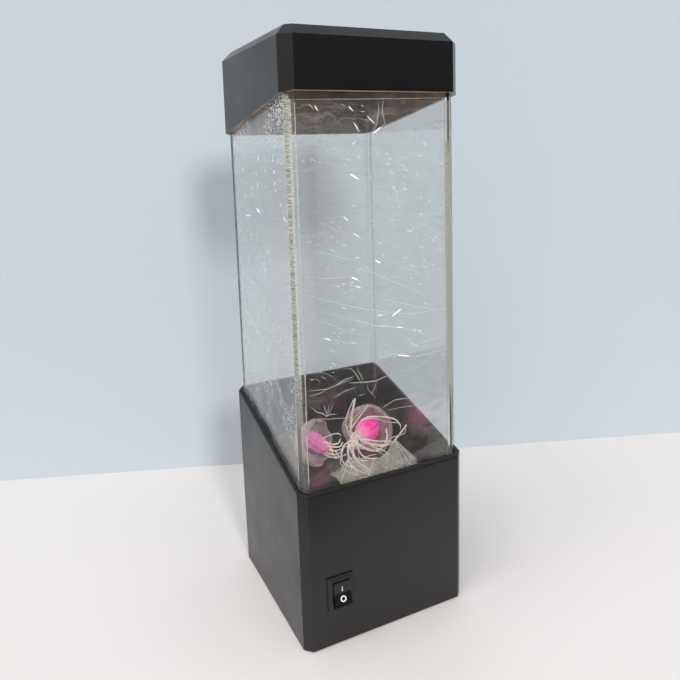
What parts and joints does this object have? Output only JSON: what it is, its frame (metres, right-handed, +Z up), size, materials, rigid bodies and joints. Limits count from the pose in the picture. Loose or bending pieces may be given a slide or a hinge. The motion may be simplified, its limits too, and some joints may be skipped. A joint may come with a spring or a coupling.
{
  "type": "jellyfish lamp",
  "caption": "Tapering square clear tank on a black base with a rocker switch, black lid, silicone jellyfish and a magnet-driven pump wheel.",
  "frame": {"origin": "middle of the footprint, at the height of the table that the rubber feet stand on", "axes": "+Z up along the tank, -Y out of the face with the switch, +X to the right as seen from that side"},
  "size_m": [0.103, 0.11, 0.3113],
  "materials": {
    "black_plastic": "moulded, satin",
    "plate_plastic": "moulded, matt",
    "frame_plastic": "moulded, matt",
    "foot_rubber": "matt",
    "gasket_rubber": "matt silicone",
    "screw_steel": "bright zinc",
    "clear_acrylic": "polished clear acrylic",
    "smoked_acrylic": "glossy smoked",
    "pin_steel": "ground",
    "white_plastic": "moulded, satin",
    "magnet": "nickel plated",
    "can_steel": "drawn, zinc plated",
    "winding_copper": "enamelled copper and laminated iron",
    "contact_brass": "tin-plated brass",
    "board_green": "solder mask",
    "led_white": "white housings with a clear window",
    "chip_black": "moulded, matt",
    "capacitor_sleeve": "shrink sleeve",
    "switch_plastic": "moulded, satin",
    "power_wire": "insulation",
    "switch_wire": "insulation",
    "motor_wire": "insulation",
    "light_wire": "insulation",
    "wrap_film": "thin clear film, creased",
    "sleeve_film": "crumpled clear film",
    "jelly_clear": "soft clear silicone",
    "jelly_pink": "soft pink silicone",
    "jelly_strands": "soft translucent silicone"
  },
  "bodies": {
    "base": {"base_housing": "black_plastic", "base_plate": "plate_plastic", "rubber_feet": "foot_rubber", "plate_screws": "screw_steel", "carrier_screws": "screw_steel", "tank_carrier": "frame_plastic", "tank_gasket": "gasket_rubber", "tank_floor": "clear_acrylic", "tank_shell": "clear_acrylic", "flow_plate": "smoked_acrylic", "wheel_pin": "pin_steel", "motor_can": "can_steel", "field_magnets": "magnet", "motor_end_cap": "white_plastic", "motor_terminals": "contact_brass", "motor_screws": "screw_steel", "led_board": "board_green", "leds": "led_white", "led_screws": "screw_steel", "control_board": "board_green", "control_chip": "chip_black", "capacitor": "capacitor_sleeve", "board_headers": "white_plastic", "board_screws": "screw_steel", "dc_jack": "chip_black", "jack_contacts": "contact_brass", "jack_nut": "screw_steel", "switch_case": "switch_plastic", "switch_terminals": "contact_brass", "power_lead": "power_wire", "switch_lead": "switch_wire", "motor_lead": "motor_wire", "light_lead": "light_wire", "film_wrap": "wrap_film"},
    "lid": {"lid_shell": "black_plastic"},
    "rocker": {"switch_rocker": "switch_plastic", "switch_plunger": "contact_brass"},
    "contact": {"switch_contact": "contact_brass"},
    "rotor": {"drive_disc": "white_plastic", "drive_magnets": "magnet", "motor_shaft": "pin_steel", "motor_armature": "winding_copper"},
    "wheel": {"pump_wheel": "white_plastic", "wheel_magnets": "magnet"},
    "right_jelly": {"right_bell": "jelly_clear", "right_core": "jelly_pink", "right_tentacles": "jelly_strands"},
    "left_jelly": {"left_bell": "jelly_clear", "left_core": "jelly_pink", "left_tentacles": "jelly_strands"},
    "sleeve": {"packing_sleeve": "sleeve_film"}
  },
  "joints": [
    {"name": "lid_lift", "type": "slide", "parent": "base", "child": "lid", "axis": [0, 0, 1], "range_m": [0, 0.06]},
    {"name": "rocker_tilt", "type": "hinge", "parent": "base", "child": "rocker", "pos_m": [-0.0302, -0.04802, 0.03275], "axis": [1, 0, 0], "range_deg": [0, 22]},
    {"name": "contact_tilt", "type": "hinge", "parent": "base", "child": "contact", "pos_m": [-0.0302, -0.04152, 0.03266], "axis": [1, 0, 0], "range_deg": [-16, 0]},
    {"name": "motor_spin", "type": "hinge", "parent": "base", "child": "rotor", "pos_m": [0, 0, 0.05], "axis": [0, 0, 1], "continuous": true},
    {"name": "wheel_spin", "type": "hinge", "parent": "base", "child": "wheel", "pos_m": [0, 0, 0.068], "axis": [0, 0, 1], "continuous": true},
    {"name": "right_jelly_float", "type": "slide", "parent": "base", "child": "right_jelly", "axis": [0, 0, 1], "range_m": [0, 0.15]},
    {"name": "left_jelly_float", "type": "slide", "parent": "base", "child": "left_jelly", "axis": [0, 0, 1], "range_m": [0, 0.15]},
    {"name": "sleeve_pull", "type": "slide", "parent": "base", "child": "sleeve", "axis": [0, 0, 1], "range_m": [0, 0.15]}
  ],
  "couplings": [
    {"joint": "contact_tilt", "follows": "rocker_tilt", "ratio": -0.72727},
    {"joint": "wheel_spin", "follows": "motor_spin", "ratio": 1}
  ]
}
